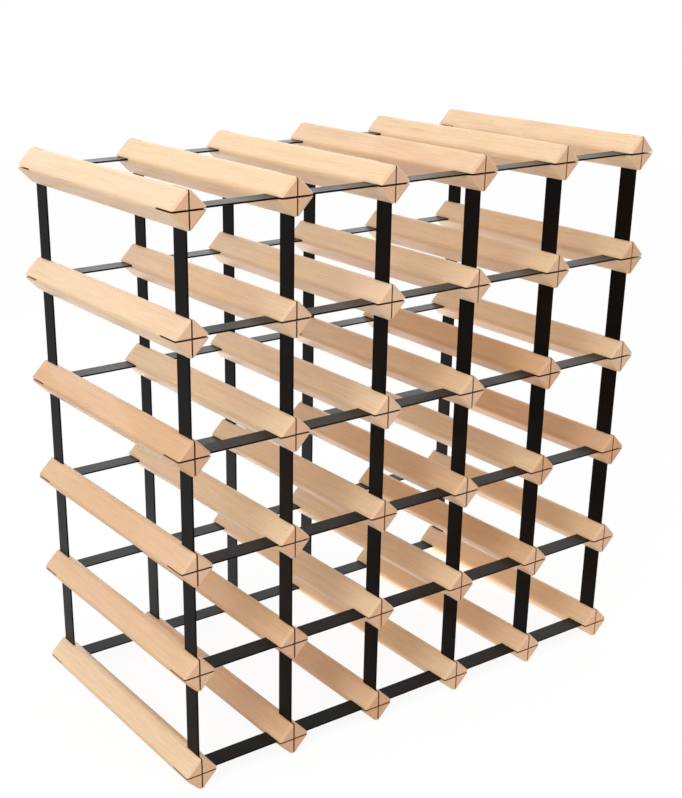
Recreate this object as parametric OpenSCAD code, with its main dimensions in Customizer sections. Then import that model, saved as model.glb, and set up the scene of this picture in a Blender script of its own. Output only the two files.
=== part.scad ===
// Free-standing wine rack: square timber bars set corner-up, joined by flat steel strips that
// cross inside saw kerfs in both ends of every bar.

/* [Layout] */
// Bars across the rack, one more than the bottle places in a row
columns = 6; // [2:1:6]
// Bars up the rack, one more than the closed bottle places in a column
rows = 6; // [2:1:6]
// Distance between the centres of neighbouring bars, across and up
pitch = 96; // [90:1:110]

/* [Bars] */
// Width of the square bar across its flat sides
bar_side = 24.5; // [21:0.5:28]
// Length of a bar from the front of the rack to the back
bar_length = 262; // [200:2:320]
// Radius of a bar's four long corners
corner_radius = 5; // [3:0.5:6]
// Width of the bevel round both ends of a bar, measured along the bar
end_bevel = 2; // [0.5:0.5:3]

/* [Strips] */
// Thickness of the steel strip
strip_thickness = 1.5; // [1:0.1:2]
// Width of the strip, which lies from front to back
strip_width = 18; // [12:0.5:24]
// How far the strip's outer edge lies inside the end of a bar
strip_recess = 5; // [1:0.5:8]
// Length of strip past the centre of an outermost bar
strip_overrun = 9; // [4:0.5:10]

/* [Fits] */
// Width of a saw kerf less the thickness of the strip in it
kerf_play = 0.1; // [0.05:0.05:0.4]
// Width of the halving notch in a strip less the thickness of the strip it crosses
notch_play = 0.1; // [0.05:0.05:0.4]

/* [Hidden] */
$fn = 48;

// The bar stands on a corner, so its section is measured along its diagonals.
corner_centre = bar_side / sqrt(2) - corner_radius * sqrt(2);
half_diagonal = corner_centre + corner_radius;

kerf_width = strip_thickness + kerf_play;
kerf_depth = strip_recess + strip_width;
notch_width = strip_thickness + notch_play;
halving = strip_width / 2;
strip_middle = bar_length / 2 - strip_recess - halving; // from the rack's middle to a strip's

strip_across = (columns - 1) * pitch + 2 * strip_overrun;
strip_up = (rows - 1) * pitch + 2 * strip_overrun;

clear = 1; // how far a cutting block runs past what it cuts

TIMBER = [0.92, 0.78, 0.62];
STEEL = [0.10, 0.10, 0.11];
FRONT = -1; // the front of the rack faces -Y
BACK = 1;

function column_x(column) = (column - (columns + 1) / 2) * pitch;
function row_z(row) = half_diagonal + (row - 1) * pitch;
function middle_z() = (row_z(1) + row_z(rows)) / 2;

function bar_name(row, column) = str("bar_row", row, "_col", column);
function side_name(side) = side == FRONT ? "front" : "back";
function upright_name(side, column) = str(side_name(side), "_upright_strip_", column);
function cross_name(side, row) = str(side_name(side), "_cross_strip_", row);

// A square with rounded corners, turned so that it stands on one of them.
module bar_section() {
    rotate(45) {
        square([bar_side, bar_side - 2 * corner_radius], center = true);
        square([bar_side - 2 * corner_radius, bar_side], center = true);
    }
    for (turn = [0:90:270])
        rotate(turn) translate([corner_centre, 0]) circle(r = corner_radius);
}

// Two saw cuts that cross on the bar's axis, from corner to corner, in one end of the bar.
module cross_kerf(side) {
    reach = 2 * (half_diagonal + clear);
    depth = kerf_depth + clear;
    centre_y = side * (bar_length / 2 - kerf_depth + depth / 2);
    translate([0, centre_y, 0]) {
        cube([kerf_width, depth, reach], center = true);
        cube([reach, depth, kerf_width], center = true);
    }
}

// Four blocks that bevel the edges between one end of the bar and its flat sides.
module end_bevels(side) {
    width = end_bevel * sqrt(2);
    for (turn = [45:90:315])
        rotate([0, turn, 0])
            translate([bar_side / 2, side * bar_length / 2, 0])
                rotate(45) cube([width, width, bar_side], center = true);
}

// One timber bar, lying from front to back.
module bar(row, column) {
    color(TIMBER)
        translate([column_x(column), 0, row_z(row)])
            difference() {
                rotate([90, 0, 0]) linear_extrude(height = bar_length, center = true) bar_section();
                for (side = [FRONT, BACK]) {
                    end_bevels(side);
                    cross_kerf(side);
                }
            }
}

// One upright strip. Its notches open towards the rack's middle, where it crosses the cross strips.
module upright_strip(side, column) {
    color(STEEL)
        translate([column_x(column), side * strip_middle, 0])
            difference() {
                translate([0, 0, middle_z()])
                    cube([strip_thickness, strip_width, strip_up], center = true);
                for (row = [1:rows])
                    translate([0, -side * (halving + clear) / 2, row_z(row)])
                        cube([strip_thickness + 2 * clear, halving + clear, notch_width], center = true);
            }
}

// One cross strip. Its notches open outwards and receive the upright strips.
module cross_strip(side, row) {
    color(STEEL)
        translate([0, side * strip_middle, row_z(row)])
            difference() {
                cube([strip_across, strip_width, strip_thickness], center = true);
                for (column = [1:columns])
                    translate([column_x(column), side * (halving + clear) / 2, 0])
                        cube([notch_width, halving + clear, strip_thickness + 2 * clear], center = true);
            }
}

for (row = [1:rows], column = [1:columns])
    bar(row, column);

for (side = [FRONT, BACK], column = [1:columns])
    upright_strip(side, column);

for (side = [FRONT, BACK], row = [1:rows])
    cross_strip(side, row);
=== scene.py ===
"""Looks of the wine rack: timber bars and black steel strips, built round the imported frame."""

import math
import random

import bmesh
import bpy
from mathutils import Matrix, Vector


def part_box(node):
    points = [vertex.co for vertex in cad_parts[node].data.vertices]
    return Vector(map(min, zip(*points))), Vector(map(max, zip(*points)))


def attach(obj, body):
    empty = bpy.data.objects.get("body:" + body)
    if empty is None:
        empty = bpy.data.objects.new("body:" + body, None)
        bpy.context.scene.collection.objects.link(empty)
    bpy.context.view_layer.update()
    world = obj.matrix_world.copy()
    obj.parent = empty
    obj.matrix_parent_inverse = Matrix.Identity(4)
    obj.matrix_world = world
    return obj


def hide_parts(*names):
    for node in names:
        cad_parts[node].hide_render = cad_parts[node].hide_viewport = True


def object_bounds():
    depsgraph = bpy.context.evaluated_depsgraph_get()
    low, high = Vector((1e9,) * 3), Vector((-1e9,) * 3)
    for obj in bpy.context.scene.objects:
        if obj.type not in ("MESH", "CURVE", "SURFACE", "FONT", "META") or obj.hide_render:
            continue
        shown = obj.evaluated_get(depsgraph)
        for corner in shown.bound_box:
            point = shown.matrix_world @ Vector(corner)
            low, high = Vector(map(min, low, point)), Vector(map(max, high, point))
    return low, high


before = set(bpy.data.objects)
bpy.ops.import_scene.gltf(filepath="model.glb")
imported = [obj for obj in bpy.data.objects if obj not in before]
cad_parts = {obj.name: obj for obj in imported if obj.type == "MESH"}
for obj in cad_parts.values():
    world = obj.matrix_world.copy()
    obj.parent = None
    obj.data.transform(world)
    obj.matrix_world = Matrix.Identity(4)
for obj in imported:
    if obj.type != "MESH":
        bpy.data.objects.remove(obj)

CAD_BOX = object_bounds()
MM = 0.001

# ---------------------------------------------------------------- sizes, read from the frame

COLUMNS = 6
ROWS = 6
SIDES = ("front", "back")

BAR_LO, BAR_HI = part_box("bar_row1_col1")
UPRIGHT_LO, UPRIGHT_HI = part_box("front_upright_strip_1")

BAR_LENGTH = BAR_HI.y - BAR_LO.y
HALF_DIAGONAL = (BAR_HI.x - BAR_LO.x) / 2
STRIP_THICKNESS = UPRIGHT_HI.x - UPRIGHT_LO.x
STRIP_WIDTH = UPRIGHT_HI.y - UPRIGHT_LO.y
STRIP_RECESS = UPRIGHT_LO.y - BAR_LO.y

# The boxes do not show these, so they repeat the design's values.
BAR_SIDE = 24.5 * MM
KERF_PLAY = 0.1 * MM
NOTCH_PLAY = 0.1 * MM
END_BEVEL = 2 * MM

CORNER_RADIUS = (BAR_SIDE / math.sqrt(2) - HALF_DIAGONAL) / (math.sqrt(2) - 1)
CORNER_CENTRE = HALF_DIAGONAL - CORNER_RADIUS
KERF_WIDTH = STRIP_THICKNESS + KERF_PLAY
KERF_DEPTH = STRIP_RECESS + STRIP_WIDTH
NOTCH_WIDTH = STRIP_THICKNESS + NOTCH_PLAY

# ---------------------------------------------------------------- finer shape, added here

CORNER_STEPS = 12          # faces round each long corner of a bar
TIMBER_EASE = 0.22 * MM    # width of the worn round on a bar's cut edges
STEEL_EASE = 0.25 * MM     # width of the round on a strip's long edges
EASE_STEPS = 2
FLATTEN_WEIGHT = 50        # faces count by their plain area
SHARP = math.radians(28)   # edges sharper than this are eased
TOUCH = 0.02 * MM          # places nearer than this count as the same
SLIVER = 0.03 * MM         # the eased edges keep no faces narrower than this
CUTTER_REACH = 1.3         # arm of the kerf cutter, as a multiple of the bar's half diagonal


# ---------------------------------------------------------------- node tree helpers

class Tree:
    """The node tree of a material, or of the world, built from short calls."""

    def __init__(self, name, world=None):
        self.owner = world or bpy.data.materials.new(name)
        self.owner.use_nodes = True
        self.nodes = self.owner.node_tree.nodes
        self.links = self.owner.node_tree.links
        self.nodes.clear()
        kinds = ("OutputWorld", "Background") if world else ("OutputMaterial", "BsdfPrincipled")
        output, self.shader = (self.nodes.new("ShaderNode" + kind) for kind in kinds)
        self.links.new(self.shader.outputs[0], output.inputs["Surface"])

    def put(self, socket, value):
        """Sets an input to a value, or links it to another node's output."""
        if isinstance(value, bpy.types.NodeSocket):
            self.links.new(value, socket)
        else:
            socket.default_value = value

    def math(self, operation, a, b=0.0):
        node = self.nodes.new("ShaderNodeMath")
        node.operation = operation
        self.put(node.inputs[0], a)
        self.put(node.inputs[1], b)
        return node.outputs[0]

    def vector(self, operation, a, b=(0.0, 0.0, 0.0)):
        node = self.nodes.new("ShaderNodeVectorMath")
        node.operation = operation
        self.put(node.inputs[0], a)
        self.put(node.inputs[1], b)
        return node.outputs["Value" if operation == "LENGTH" else "Vector"]

    def noise(self, place, stretch, scale, detail, roughness):
        """Noise whose y is multiplied by stretch, so that a small value draws it out along y."""
        node = self.nodes.new("ShaderNodeTexNoise")
        self.put(node.inputs["Vector"], self.vector("MULTIPLY", place, (1.0, stretch, 1.0)))
        node.inputs["Scale"].default_value = scale
        node.inputs["Detail"].default_value = detail
        node.inputs["Roughness"].default_value = roughness
        return node.outputs["Fac"]

    def spread(self, value, low, high, to_low=0.0, to_high=1.0):
        """Eases from to_low to to_high while the value goes from low to high."""
        node = self.nodes.new("ShaderNodeMapRange")
        node.interpolation_type = "SMOOTHSTEP"
        self.put(node.inputs["Value"], value)
        node.inputs["From Min"].default_value = low
        node.inputs["From Max"].default_value = high
        node.inputs["To Min"].default_value = to_low
        node.inputs["To Max"].default_value = to_high
        return node.outputs["Result"]

    def choose(self, factor, a, b):
        """A number between a and b."""
        node = self.nodes.new("ShaderNodeMix")
        self.put(node.inputs["Factor"], factor)
        self.put(node.inputs["A"], a)
        self.put(node.inputs["B"], b)
        return node.outputs["Result"]

    def mix(self, factor, a, b, blend="MIX"):
        """A colour between a and b."""
        node = self.nodes.new("ShaderNodeMix")
        node.data_type = "RGBA"
        node.blend_type = blend
        self.put(node.inputs["Factor"], factor)
        self.put(node.inputs[6], a)
        self.put(node.inputs[7], b)
        return node.outputs[2]

    def attribute(self, name, output="Fac"):
        node = self.nodes.new("ShaderNodeAttribute")
        node.attribute_name = name
        return node.outputs[output]

    def object_place(self):
        return self.nodes.new("ShaderNodeTexCoord").outputs["Object"]

    def axes(self, vector):
        node = self.nodes.new("ShaderNodeSeparateXYZ")
        self.put(node.inputs[0], vector)
        return node.outputs

    def normal_axes(self):
        return self.axes(self.nodes.new("ShaderNodeNewGeometry").outputs["True Normal"])

    def bump(self, height, strength, distance):
        node = self.nodes.new("ShaderNodeBump")
        node.inputs["Strength"].default_value = strength
        node.inputs["Distance"].default_value = distance
        self.put(node.inputs["Height"], height)
        self.put(self.shader.inputs["Normal"], node.outputs["Normal"])


# ---------------------------------------------------------------- materials

WHITE = (1.0, 1.0, 1.0, 1.0)

# Colours of the timber.
CREAM = (0.885, 0.642, 0.398, 1.0)
TAN = (0.650, 0.337, 0.142, 1.0)
ROSY = (0.880, 0.600, 0.410, 1.0)
LATE_WOOD = (0.660, 0.400, 0.230, 1.0)
HEART_WOOD = (0.540, 0.285, 0.135, 1.0)
RAY_FLECK = (0.520, 0.300, 0.165, 1.0)
END_GRAIN = (0.970, 0.630, 0.430, 1.0)
END_DARK = (0.760, 0.370, 0.195, 1.0)
# Painted shade deep in the kerfs, where little light reaches: a dark brown put on their walls and
# bottoms.
KERF_SHADE_COLOUR = (0.150, 0.065, 0.035, 1.0)

# Noises in the timber: factor along the bar, scale, detail and roughness.
WARP_NOISE = (0.22, 38.0, 2.0, 0.5)
FIBRE_NOISE = (0.022, 1500.0, 3.0, 0.6)
STREAK_NOISE = (0.035, 230.0, 3.0, 0.55)
CLOUD_NOISE = (0.30, 26.0, 3.0, 0.5)
FLECK_NOISE = (0.16, 1150.0, 1.0, 0.5)
PORE_NOISE = (1.0, 2600.0, 2.0, 0.7)

# What a noise turns into: its range, and the strength at both ends of the range.
CLOUD_TO_ROSY = (0.42, 0.62, 0.0, 0.38)
CLOUD_TO_HEART = (0.48, 0.70, 0.0, 1.0)
STREAK_TO_LATE = (0.50, 0.78, 0.0, 0.30)
STREAK_TO_ROUGHNESS = (0.25, 0.8, 0.40, 0.52)
FIBRE_TO_SHADE = (0.30, 0.72, 0.90, 1.05)
FLECK_TO_DARK = (0.66, 0.74, 0.0, 0.30)
PORE_TO_LATE = (0.35, 0.70, 0.0, 0.45)

# Yearly rings, round an axis of the tree that lies outside the bar and a little askew of it.
RING_GAP = 2.1 * MM
RING_WARP = 6.5 * MM
TREE_AXIS = (0.055, 0.0, 0.030)
TREE_SLANT = 0.028
RING_SWELL = (0.45, 0.93)
RING_STOP = (1.0, 0.94)
RING_ON_SIDE = 0.17
RING_ON_END = 0.35

# Cut ends and kerfs.
END_FACING = (0.55, 0.95)    # how squarely a face looks along the bar, from side to end
END_STRENGTH = 0.75
END_ROUGHNESS = 0.18         # added on the cut ends
# Painted shade in the kerfs deepens between these depths below the surface, and is faint at the mouth.
KERF_SHADE_DEPTHS = (0.3 * MM, 1.6 * MM)
KERF_SHADE_AT_MOUTH = 0.1

# Lacquer, and the relief under it.
LACQUER_GLOSS = 0.42
LACQUER_COAT = 0.08
LACQUER_COAT_ROUGHNESS = 0.28
FIBRE_HEIGHT = 0.7
FLECK_HEIGHT = -0.8
RELIEF_STRENGTH = 0.05
RELIEF_DEPTH = 0.12 * MM


def timber_material():
    """Clear-lacquered beech: one solid grain that runs through each bar along its length."""
    t = Tree("beech_satin_lacquer")
    own_place = t.object_place()
    place = t.vector("ADD", own_place, t.attribute("grain_shift", "Vector"))
    fibre = t.noise(place, *FIBRE_NOISE)
    streak = t.noise(place, *STREAK_NOISE)
    cloud = t.noise(place, *CLOUD_NOISE)

    # Late wood is the dark part of a ring: it swells slowly and stops short.
    flat = t.vector("MULTIPLY", place, (1.0, 0.0, 1.0))
    radius = t.vector("LENGTH", t.vector("ADD", flat, TREE_AXIS))
    slanted = t.math("ADD", radius, t.math("MULTIPLY", t.axes(place)[1], TREE_SLANT))
    warp = t.math("MULTIPLY", t.noise(place, *WARP_NOISE), RING_WARP)
    phase = t.math("FRACT", t.math("DIVIDE", t.math("ADD", slanted, warp), RING_GAP))
    late = t.math("MULTIPLY", t.spread(phase, *RING_SWELL), t.spread(phase, *RING_STOP))

    colour = t.mix(t.attribute("tone"), CREAM, TAN)
    colour = t.mix(t.spread(cloud, *CLOUD_TO_ROSY), colour, ROSY)
    colour = t.mix(t.math("MULTIPLY", late, RING_ON_SIDE), colour, LATE_WOOD)
    colour = t.mix(t.spread(streak, *STREAK_TO_LATE), colour, LATE_WOOD)
    heart = t.math("MULTIPLY", t.attribute("heart"), t.spread(cloud, *CLOUD_TO_HEART))
    colour = t.mix(heart, colour, HEART_WOOD)
    shade = t.vector("MULTIPLY", (1.0, 1.0, 1.0), t.spread(fibre, *FIBRE_TO_SHADE))
    colour = t.mix(1.0, colour, shade, "MULTIPLY")

    # Rays show as short dark flecks along the grain.
    fleck = t.spread(t.noise(place, *FLECK_NOISE), *FLECK_TO_DARK)
    colour = t.mix(fleck, colour, RAY_FLECK)

    # The cut ends are pinker, with fine pores and clearer rings.
    end = t.spread(t.math("ABSOLUTE", t.normal_axes()[1]), *END_FACING)
    pore = t.noise(place, *PORE_NOISE)
    end_colour = t.mix(t.attribute("end_tone"), END_GRAIN, END_DARK)
    end_colour = t.mix(t.spread(pore, *PORE_TO_LATE), end_colour, LATE_WOOD)
    end_colour = t.mix(t.math("MULTIPLY", late, RING_ON_END), end_colour, LATE_WOOD)
    colour = t.mix(t.math("MULTIPLY", end, END_STRENGTH), colour, end_colour)

    # Painted shade in the kerfs: their walls and bottoms darken with depth below the surface, but stay
    # light at the mouth.
    x, y, z = t.axes(own_place)
    reach = t.math("MAXIMUM", t.math("ABSOLUTE", x), t.math("ABSOLUTE", z))
    under_side = t.math("SUBTRACT", HALF_DIAGONAL, reach)
    under_end = t.math("SUBTRACT", BAR_LENGTH / 2, t.math("ABSOLUTE", y))
    depth = t.math("MINIMUM", under_side, under_end)
    kerf_shade = t.spread(depth, *KERF_SHADE_DEPTHS, KERF_SHADE_AT_MOUTH, 1.0)
    colour = t.mix(t.math("MULTIPLY", t.attribute("kerf_shade_mask"), kerf_shade), colour, KERF_SHADE_COLOUR)

    s = t.shader
    side_roughness = t.spread(streak, *STREAK_TO_ROUGHNESS)
    t.put(s.inputs["Base Color"], colour)
    t.put(s.inputs["Roughness"], t.math("ADD", side_roughness, t.math("MULTIPLY", end, END_ROUGHNESS)))
    s.inputs["Specular IOR Level"].default_value = LACQUER_GLOSS
    s.inputs["Coat Weight"].default_value = LACQUER_COAT
    s.inputs["Coat Roughness"].default_value = LACQUER_COAT_ROUGHNESS
    fibre_relief = t.math("MULTIPLY", fibre, FIBRE_HEIGHT)
    fleck_relief = t.math("MULTIPLY", fleck, FLECK_HEIGHT)
    t.bump(t.math("ADD", fibre_relief, fleck_relief), RELIEF_STRENGTH, RELIEF_DEPTH)
    return t.owner


STEEL_PAINT = (0.0010, 0.0007, 0.0006, 1.0)
STEEL_RUBBED = (0.0060, 0.0050, 0.0045, 1.0)
WARM_SHEEN = (1.0, 0.90, 0.82, 1.0)
PAINT_IOR = 1.18               # low: the paint shines only at a glancing angle
PAINT_NOISE = (1.0, 22.0, 4.0, 0.6)
RUB_NOISE = (3.0, 160.0, 3.0, 0.65)
PAINT_TO_RUB = (0.4, 0.7)
RUB_TO_RUB = (0.45, 0.75)
PAINT_TO_ROUGHNESS = (0.3, 0.7, 0.27, 0.37)


def steel_material():
    """Black satin paint over flat steel strip, faintly uneven and rubbed."""
    t = Tree("black_satin_paint")
    place = t.object_place()
    paint = t.noise(place, *PAINT_NOISE)
    rub = t.noise(place, *RUB_NOISE)
    rubbed = t.math("MULTIPLY", t.spread(paint, *PAINT_TO_RUB), t.spread(rub, *RUB_TO_RUB))
    s = t.shader
    t.put(s.inputs["Base Color"], t.mix(rubbed, STEEL_PAINT, STEEL_RUBBED))
    t.put(s.inputs["Roughness"], t.spread(paint, *PAINT_TO_ROUGHNESS))
    s.inputs["IOR"].default_value = PAINT_IOR
    s.inputs["Specular Tint"].default_value = WARM_SHEEN
    return t.owner


FLOOR_LIT = (0.66, 0.66, 0.66, 1.0)    # the floor as it lights the rack
FLOOR_SEEN = (0.10, 0.10, 0.10, 1.0)   # the floor as the camera sees it, its glow added
FLOOR_ROUGHNESS = 0.9
GLOW_CENTRE = (0.36, 0.58, 0.0)        # where the floor shines most
GLOW = (0.25, 0.95, 1.75, 0.0)         # from 0.25 m to 0.95 m from there, the glow fades out
GLOW_SEEN = (0.95, 4.75, 0.915, 0.94)  # the same for the camera: together with the light, just white


def floor_material():
    """White paper lit from beneath. The camera sees it just white, with a hint of the shadows."""
    t = Tree("white_sweep")
    s = t.shader
    seen = t.nodes.new("ShaderNodeLightPath").outputs["Is Camera Ray"]
    apart = t.vector("LENGTH", t.vector("SUBTRACT", t.object_place(), GLOW_CENTRE))
    glow = t.choose(seen, t.spread(apart, *GLOW), t.spread(apart, *GLOW_SEEN))
    t.put(s.inputs["Base Color"], t.mix(seen, FLOOR_LIT, FLOOR_SEEN))
    t.put(s.inputs["Emission Strength"], glow)
    s.inputs["Emission Color"].default_value = WHITE
    s.inputs["Roughness"].default_value = FLOOR_ROUGHNESS
    s.inputs["Specular IOR Level"].default_value = 0.0
    return t.owner


# ---------------------------------------------------------------- mesh helpers

def new_object(name, mesh):
    piece = bpy.data.objects.new(name, mesh)
    bpy.context.scene.collection.objects.link(piece)
    return piece


def prism(outline, axis_from, axis_to, place):
    """A closed solid: the outline, repeated at two ends. place(u, v, w) says where a point goes."""
    bm = bmesh.new()
    near = [bm.verts.new(place(u, v, axis_from)) for u, v in outline]
    far = [bm.verts.new(place(u, v, axis_to)) for u, v in outline]
    bm.faces.new(near)
    bm.faces.new(far)
    count = len(outline)
    for i in range(count):
        j = (i + 1) % count
        bm.faces.new((near[i], near[j], far[j], far[i]))
    bmesh.ops.recalc_face_normals(bm, faces=bm.faces)
    for face in bm.faces:
        face.smooth = True
    return bm


def as_mesh(bm, name):
    mesh = bpy.data.meshes.new(name)
    bm.to_mesh(mesh)
    bm.free()
    return mesh


def with_modifiers(mesh, cutters, ease):
    """The mesh with each cutter taken out of it and its sharp edges eased."""
    work = new_object("work", mesh)
    for cutter in cutters:
        cut = work.modifiers.new("cut", "BOOLEAN")
        cut.operation = "DIFFERENCE"
        cut.solver = "EXACT"
        cut.object = cutter
    round_off = work.modifiers.new("ease", "BEVEL")
    round_off.width = ease
    round_off.segments = EASE_STEPS
    round_off.limit_method = "ANGLE"
    round_off.angle_limit = SHARP
    round_off.use_clamp_overlap = False
    weld = work.modifiers.new("weld", "WELD")
    weld.merge_threshold = SLIVER
    # The large faces keep their own normals, so they shade flat up to the eased edges.
    flatten = work.modifiers.new("flatten", "WEIGHTED_NORMAL")
    flatten.mode = "FACE_AREA"
    flatten.weight = FLATTEN_WEIGHT
    flatten.thresh = 0.0
    depsgraph = bpy.context.evaluated_depsgraph_get()
    made = bpy.data.meshes.new_from_object(work.evaluated_get(depsgraph), depsgraph=depsgraph)
    for leftover in (work, *cutters):
        bpy.data.objects.remove(leftover)
    return made


def set_attribute(mesh, name, kind, value):
    attribute = mesh.attributes.new(name, kind, "POINT")
    field = "vector" if kind == "FLOAT_VECTOR" else "value"
    values = list(value) if kind == "FLOAT_VECTOR" else [value]
    attribute.data.foreach_set(field, values * len(mesh.vertices))


# ---------------------------------------------------------------- timber bars

def bar_outline():
    """A square with rounded corners, standing on one of them, as points in x and z."""
    points = []
    for corner in range(4):
        middle = math.radians(90 * corner)
        for step in range(CORNER_STEPS + 1):
            angle = middle + math.radians(90 * (step / CORNER_STEPS - 0.5))
            points.append((
                CORNER_CENTRE * math.cos(middle) + CORNER_RADIUS * math.cos(angle),
                CORNER_CENTRE * math.sin(middle) + CORNER_RADIUS * math.sin(angle),
            ))
    return points


def bevel_ends(bm):
    """Slices the edges between both ends and the four flat sides off at 45 degrees."""
    for end in (-1, 1):
        for turn in (45, 135, 225, 315):
            side = Vector((math.cos(math.radians(turn)), 0, math.sin(math.radians(turn))))
            point = side * BAR_SIDE / 2 + Vector((0, end * (BAR_LENGTH / 2 - END_BEVEL), 0))
            normal = (side + Vector((0, end, 0))).normalized()
            everything = bm.verts[:] + bm.edges[:] + bm.faces[:]
            cut = bmesh.ops.bisect_plane(
                bm, geom=everything, plane_co=point, plane_no=normal, clear_outer=True
            )
            edges = [e for e in cut["geom_cut"] if isinstance(e, bmesh.types.BMEdge)]
            bmesh.ops.contextual_create(bm, geom=edges)
    bmesh.ops.recalc_face_normals(bm, faces=bm.faces)


def kerf_cutter(end):
    """The cross-shaped space that two saw cuts leave in one end of a bar."""
    arm, half = HALF_DIAGONAL * CUTTER_REACH, KERF_WIDTH / 2
    corners = [(half, half), (half, arm), (-half, arm)]
    outline = []
    for turn in range(4):
        angle = math.radians(90 * turn)
        for u, v in corners:
            outline.append((
                u * math.cos(angle) - v * math.sin(angle),
                u * math.sin(angle) + v * math.cos(angle),
            ))
    bottom = end * (BAR_LENGTH / 2 - KERF_DEPTH)
    outside = end * (BAR_LENGTH / 2 + KERF_DEPTH)
    bm = prism(outline, bottom, outside, lambda u, v, w: (u, w, v))
    return new_object("cutter", as_mesh(bm, "cutter"))


def mark_kerf_shade(mesh):
    """Gives the walls and the bottoms of the kerfs the attribute that their painted shade follows."""
    bottom = BAR_LENGTH / 2 - KERF_DEPTH - TOUCH
    wall = KERF_WIDTH / 2 + TOUCH
    kerf_shade_mask = mesh.attributes.new("kerf_shade_mask", "FLOAT", "FACE")
    for face in mesh.polygons:
        x, y, z = face.center
        kerf_shade_mask.data[face.index].value = abs(y) > bottom and min(abs(x), abs(z)) < wall


def bar_mesh():
    half = BAR_LENGTH / 2
    bm = prism(bar_outline(), -half, half, lambda u, v, w: (u, w, v))
    bevel_ends(bm)
    blank = as_mesh(bm, "bar_blank")
    mesh = with_modifiers(blank, [kerf_cutter(-1), kerf_cutter(1)], TIMBER_EASE)
    mark_kerf_shade(mesh)
    return mesh


# The seeds are arbitrary. Each bar draws its grain, its tone and the tone of its ends by itself.
GRAIN_SEED = 7
END_SEED = 11
TONE_SEED = 1
GRAIN_REACH = (0.02, 3.0, 0.02)    # metres that a bar's grain may be shifted from the middle
DARKEST_TONE = 0.86          # how far the darkest bar goes from cream to tan
TONE_CURVE = 1.7             # above 1: more light bars than dark ones
HEART_RANGE = (-0.9, 0.6)    # below 0: no heart wood
HEART_STRENGTH = 0.6


def make_bars(material):
    """All bars from one mesh. Each has its own piece of the grain, its own tone and heart wood."""
    rng = random.Random(GRAIN_SEED)
    tones = random.Random(TONE_SEED)
    end_tones = random.Random(END_SEED)
    master = bar_mesh()
    for row in range(1, ROWS + 1):
        for column in range(1, COLUMNS + 1):
            node = f"bar_row{row}_col{column}"
            lo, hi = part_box(node)
            mesh = master.copy()
            shift = [rng.uniform(-1, 1) * reach for reach in GRAIN_REACH]
            tone = DARKEST_TONE * tones.random() ** TONE_CURVE
            heart = max(0.0, rng.uniform(*HEART_RANGE)) * HEART_STRENGTH
            set_attribute(mesh, "grain_shift", "FLOAT_VECTOR", shift)
            set_attribute(mesh, "tone", "FLOAT", tone)
            set_attribute(mesh, "end_tone", "FLOAT", end_tones.random())
            set_attribute(mesh, "heart", "FLOAT", heart)
            mesh.materials.clear()
            mesh.materials.append(material)
            bar = new_object(f"timber_{node}", mesh)
            bar.location = (lo + hi) / 2
            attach(bar, "root")
            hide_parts(node)


# ---------------------------------------------------------------- steel strips

def strip_mesh(lo, hi, crossings, along, open_side):
    """A flat strip with halving notches.

    along is the axis that the strip runs on, 0 or 2. open_side is -1 or 1, the side in y on which
    the notches open.
    """
    middle = (lo + hi) / 2
    halving = STRIP_WIDTH / 2
    start, end = lo[along] - middle[along], hi[along] - middle[along]
    edge = open_side * STRIP_WIDTH / 2
    outline = [(end, -edge), (start, -edge), (start, edge)]
    for crossing in crossings:
        place = crossing - middle[along]
        near, far = place - NOTCH_WIDTH / 2, place + NOTCH_WIDTH / 2
        outline += [(near, edge), (near, edge - open_side * halving)]
        outline += [(far, edge - open_side * halving), (far, edge)]
    outline.append((end, edge))
    half = STRIP_THICKNESS / 2
    if along == 2:
        bm = prism(outline, -half, half, lambda u, v, w: (w, v, u))
    else:
        bm = prism(outline, -half, half, lambda u, v, w: (u, v, w))
    return with_modifiers(as_mesh(bm, "strip_blank"), [], STEEL_EASE)


def make_strip(node, crossings, along, open_side, material):
    lo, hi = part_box(node)
    mesh = strip_mesh(lo, hi, crossings, along, open_side)
    mesh.materials.append(material)
    strip = new_object(f"steel_{node}", mesh)
    strip.location = (lo + hi) / 2
    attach(strip, "root")
    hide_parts(node)


def centre(node, axis):
    lo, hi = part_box(node)
    return (lo[axis] + hi[axis]) / 2


def make_strips(material):
    for side in SIDES:
        outwards = -1 if side == "front" else 1
        rows = [centre(f"{side}_cross_strip_{row}", 2) for row in range(1, ROWS + 1)]
        columns = [centre(f"{side}_upright_strip_{column}", 0) for column in range(1, COLUMNS + 1)]
        for column in range(1, COLUMNS + 1):
            make_strip(f"{side}_upright_strip_{column}", rows, 2, -outwards, material)
        for row in range(1, ROWS + 1):
            make_strip(f"{side}_cross_strip_{row}", columns, 0, outwards, material)


# ---------------------------------------------------------------- floor, lights and camera

SENSOR_WIDTH = 36.0        # mm
FOCAL_LENGTH = 60.2        # mm
CAMERA_PLACE = Vector((-0.7361, -0.9568, 0.6760))
CAMERA_YAW = math.radians(34.029)     # from +Y towards +X
CAMERA_DIP = math.radians(21.595)
CAMERA_ROLL = math.radians(-0.197)
CAMERA_SHIFT = (0.100, 0.0875)        # the photo is framed off the lens's axis

FLOOR_RADIUS = 12.0
FLOOR_SIDES = 64
BACKDROP = 1.0             # brightness of the surroundings to the camera
SKY = 0.66                 # brightness of the surroundings as they light the rack
REFLECTED_SKY = (0.2, 0.9, 0.9, 2.0)  # in reflections it rises from 0.9 to 2.0 towards the back
KEY_LIGHT = ("key", (-1.75, -0.95, 1.6), 1.2, 22.0)
TOP_LIGHT = ("top", (0.2, -0.2, 2.4), 1.6, 8.0)


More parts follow.
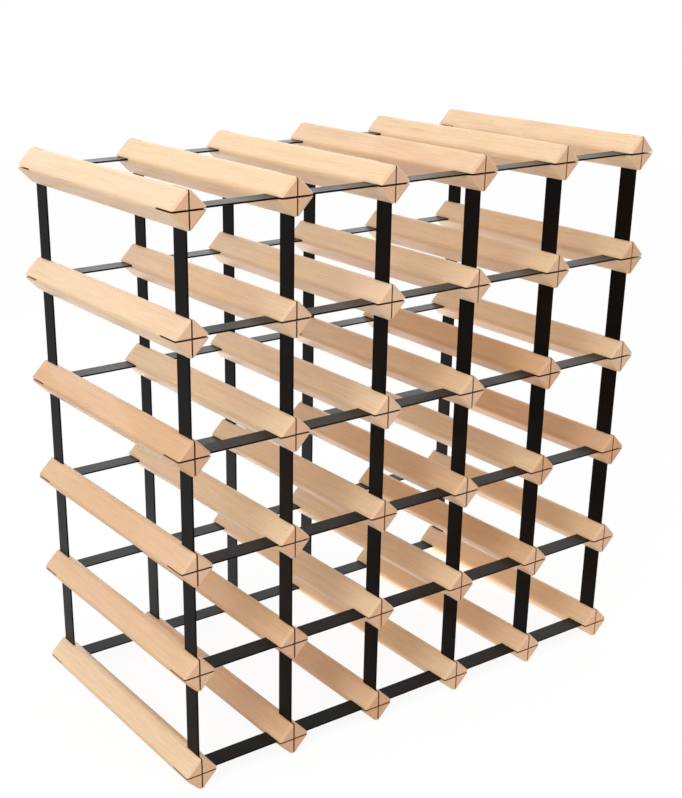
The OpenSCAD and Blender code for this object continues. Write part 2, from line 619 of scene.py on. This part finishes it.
def make_camera():
    camera = bpy.data.objects.new("camera", bpy.data.cameras.new("camera"))
    bpy.context.scene.collection.objects.link(camera)
    camera.data.sensor_width = SENSOR_WIDTH
    camera.data.lens = FOCAL_LENGTH
    camera.data.shift_x, camera.data.shift_y = CAMERA_SHIFT
    turn = Matrix.Rotation(-CAMERA_YAW, 4, "Z")
    dip = Matrix.Rotation(math.radians(90) - CAMERA_DIP, 4, "X")
    roll = Matrix.Rotation(CAMERA_ROLL, 4, "Z")
    camera.matrix_world = Matrix.Translation(CAMERA_PLACE) @ turn @ dip @ roll
    bpy.context.scene.camera = camera


def make_floor():
    bm = bmesh.new()
    bmesh.ops.create_circle(bm, cap_ends=True, segments=FLOOR_SIDES, radius=FLOOR_RADIUS)
    floor = new_object("floor", as_mesh(bm, "floor"))
    floor.data.materials.append(floor_material())


def make_light(name, place, size, power):
    """A soft round light that is aimed at the middle of the rack."""
    data = bpy.data.lights.new(name, "AREA")
    data.shape = "DISK"
    data.size = size
    data.energy = power
    light = bpy.data.objects.new(name, data)
    bpy.context.scene.collection.objects.link(light)
    target = Vector((0, 0, (CAD_BOX[0].z + CAD_BOX[1].z) / 2))
    light.location = place
    light.rotation_mode = "QUATERNION"
    light.rotation_quaternion = (target - Vector(place)).to_track_quat("-Z", "Y")


def make_studio():
    """A white room: just white to the camera, dimmer as it lights the rack."""
    world = bpy.data.worlds.new("studio")
    bpy.context.scene.world = world
    t = Tree("studio", world)
    ray = t.nodes.new("ShaderNodeLightPath").outputs
    towards_back = t.axes(t.nodes.new("ShaderNodeTexCoord").outputs["Generated"])[1]
    level = t.choose(ray["Is Glossy Ray"], SKY, t.spread(towards_back, *REFLECTED_SKY))
    t.put(t.shader.inputs["Color"], WHITE)
    t.put(t.shader.inputs["Strength"], t.choose(ray["Is Camera Ray"], level, BACKDROP))
    make_light(*KEY_LIGHT)
    make_light(*TOP_LIGHT)
    bpy.context.scene.view_settings.view_transform = "Standard"


# ---------------------------------------------------------------- everything

make_camera()
make_bars(timber_material())
make_strips(steel_material())
make_floor()
make_studio()
